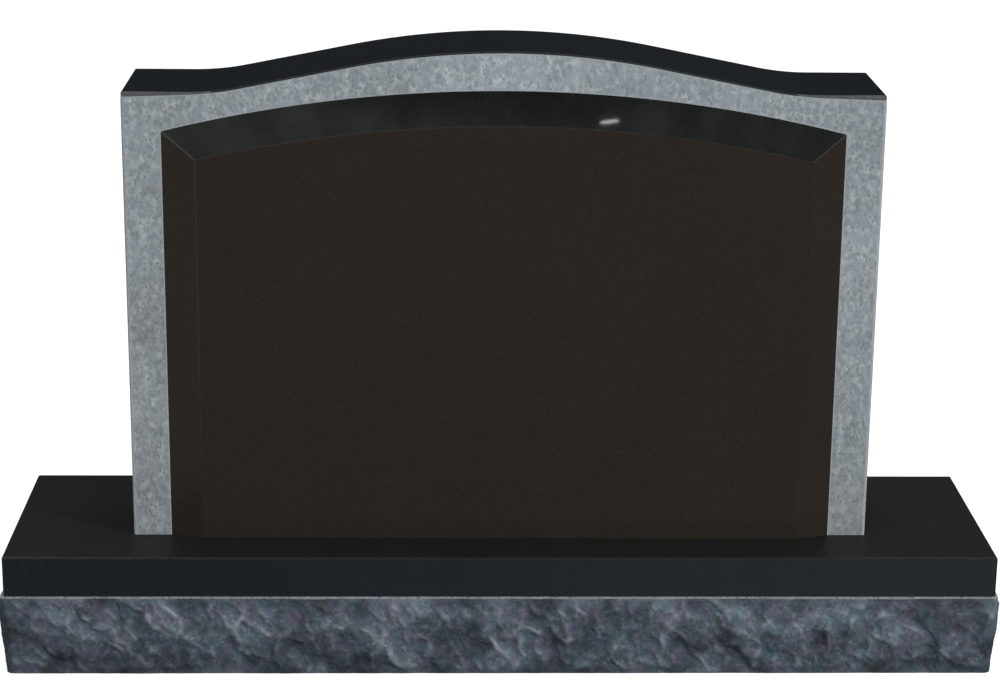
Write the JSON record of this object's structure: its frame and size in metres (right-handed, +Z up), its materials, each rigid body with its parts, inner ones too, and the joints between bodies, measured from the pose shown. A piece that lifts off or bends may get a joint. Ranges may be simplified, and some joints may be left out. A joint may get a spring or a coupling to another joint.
{
  "type": "granite monument",
  "caption": "Upright granite grave monument: serpentine-top tablet with a frosted border round a raised bevelled panel, on a wider base with a polished margin and rock-pitched sides.",
  "frame": {"origin": "middle of the base's underside", "axes": "+Z up, +X along the width to the right as seen from the front, +Y to the back; the panel looks along -Y"},
  "size_m": [1.2392, 0.3282, 0.7623],
  "materials": {
    "base_granite": "rock-pitched, polished on top",
    "tablet_granite": "polished, with a frosted border"
  },
  "bodies": {
    "root": {"base": "base_granite", "tablet": "tablet_granite"}
  },
  "joints": []
}
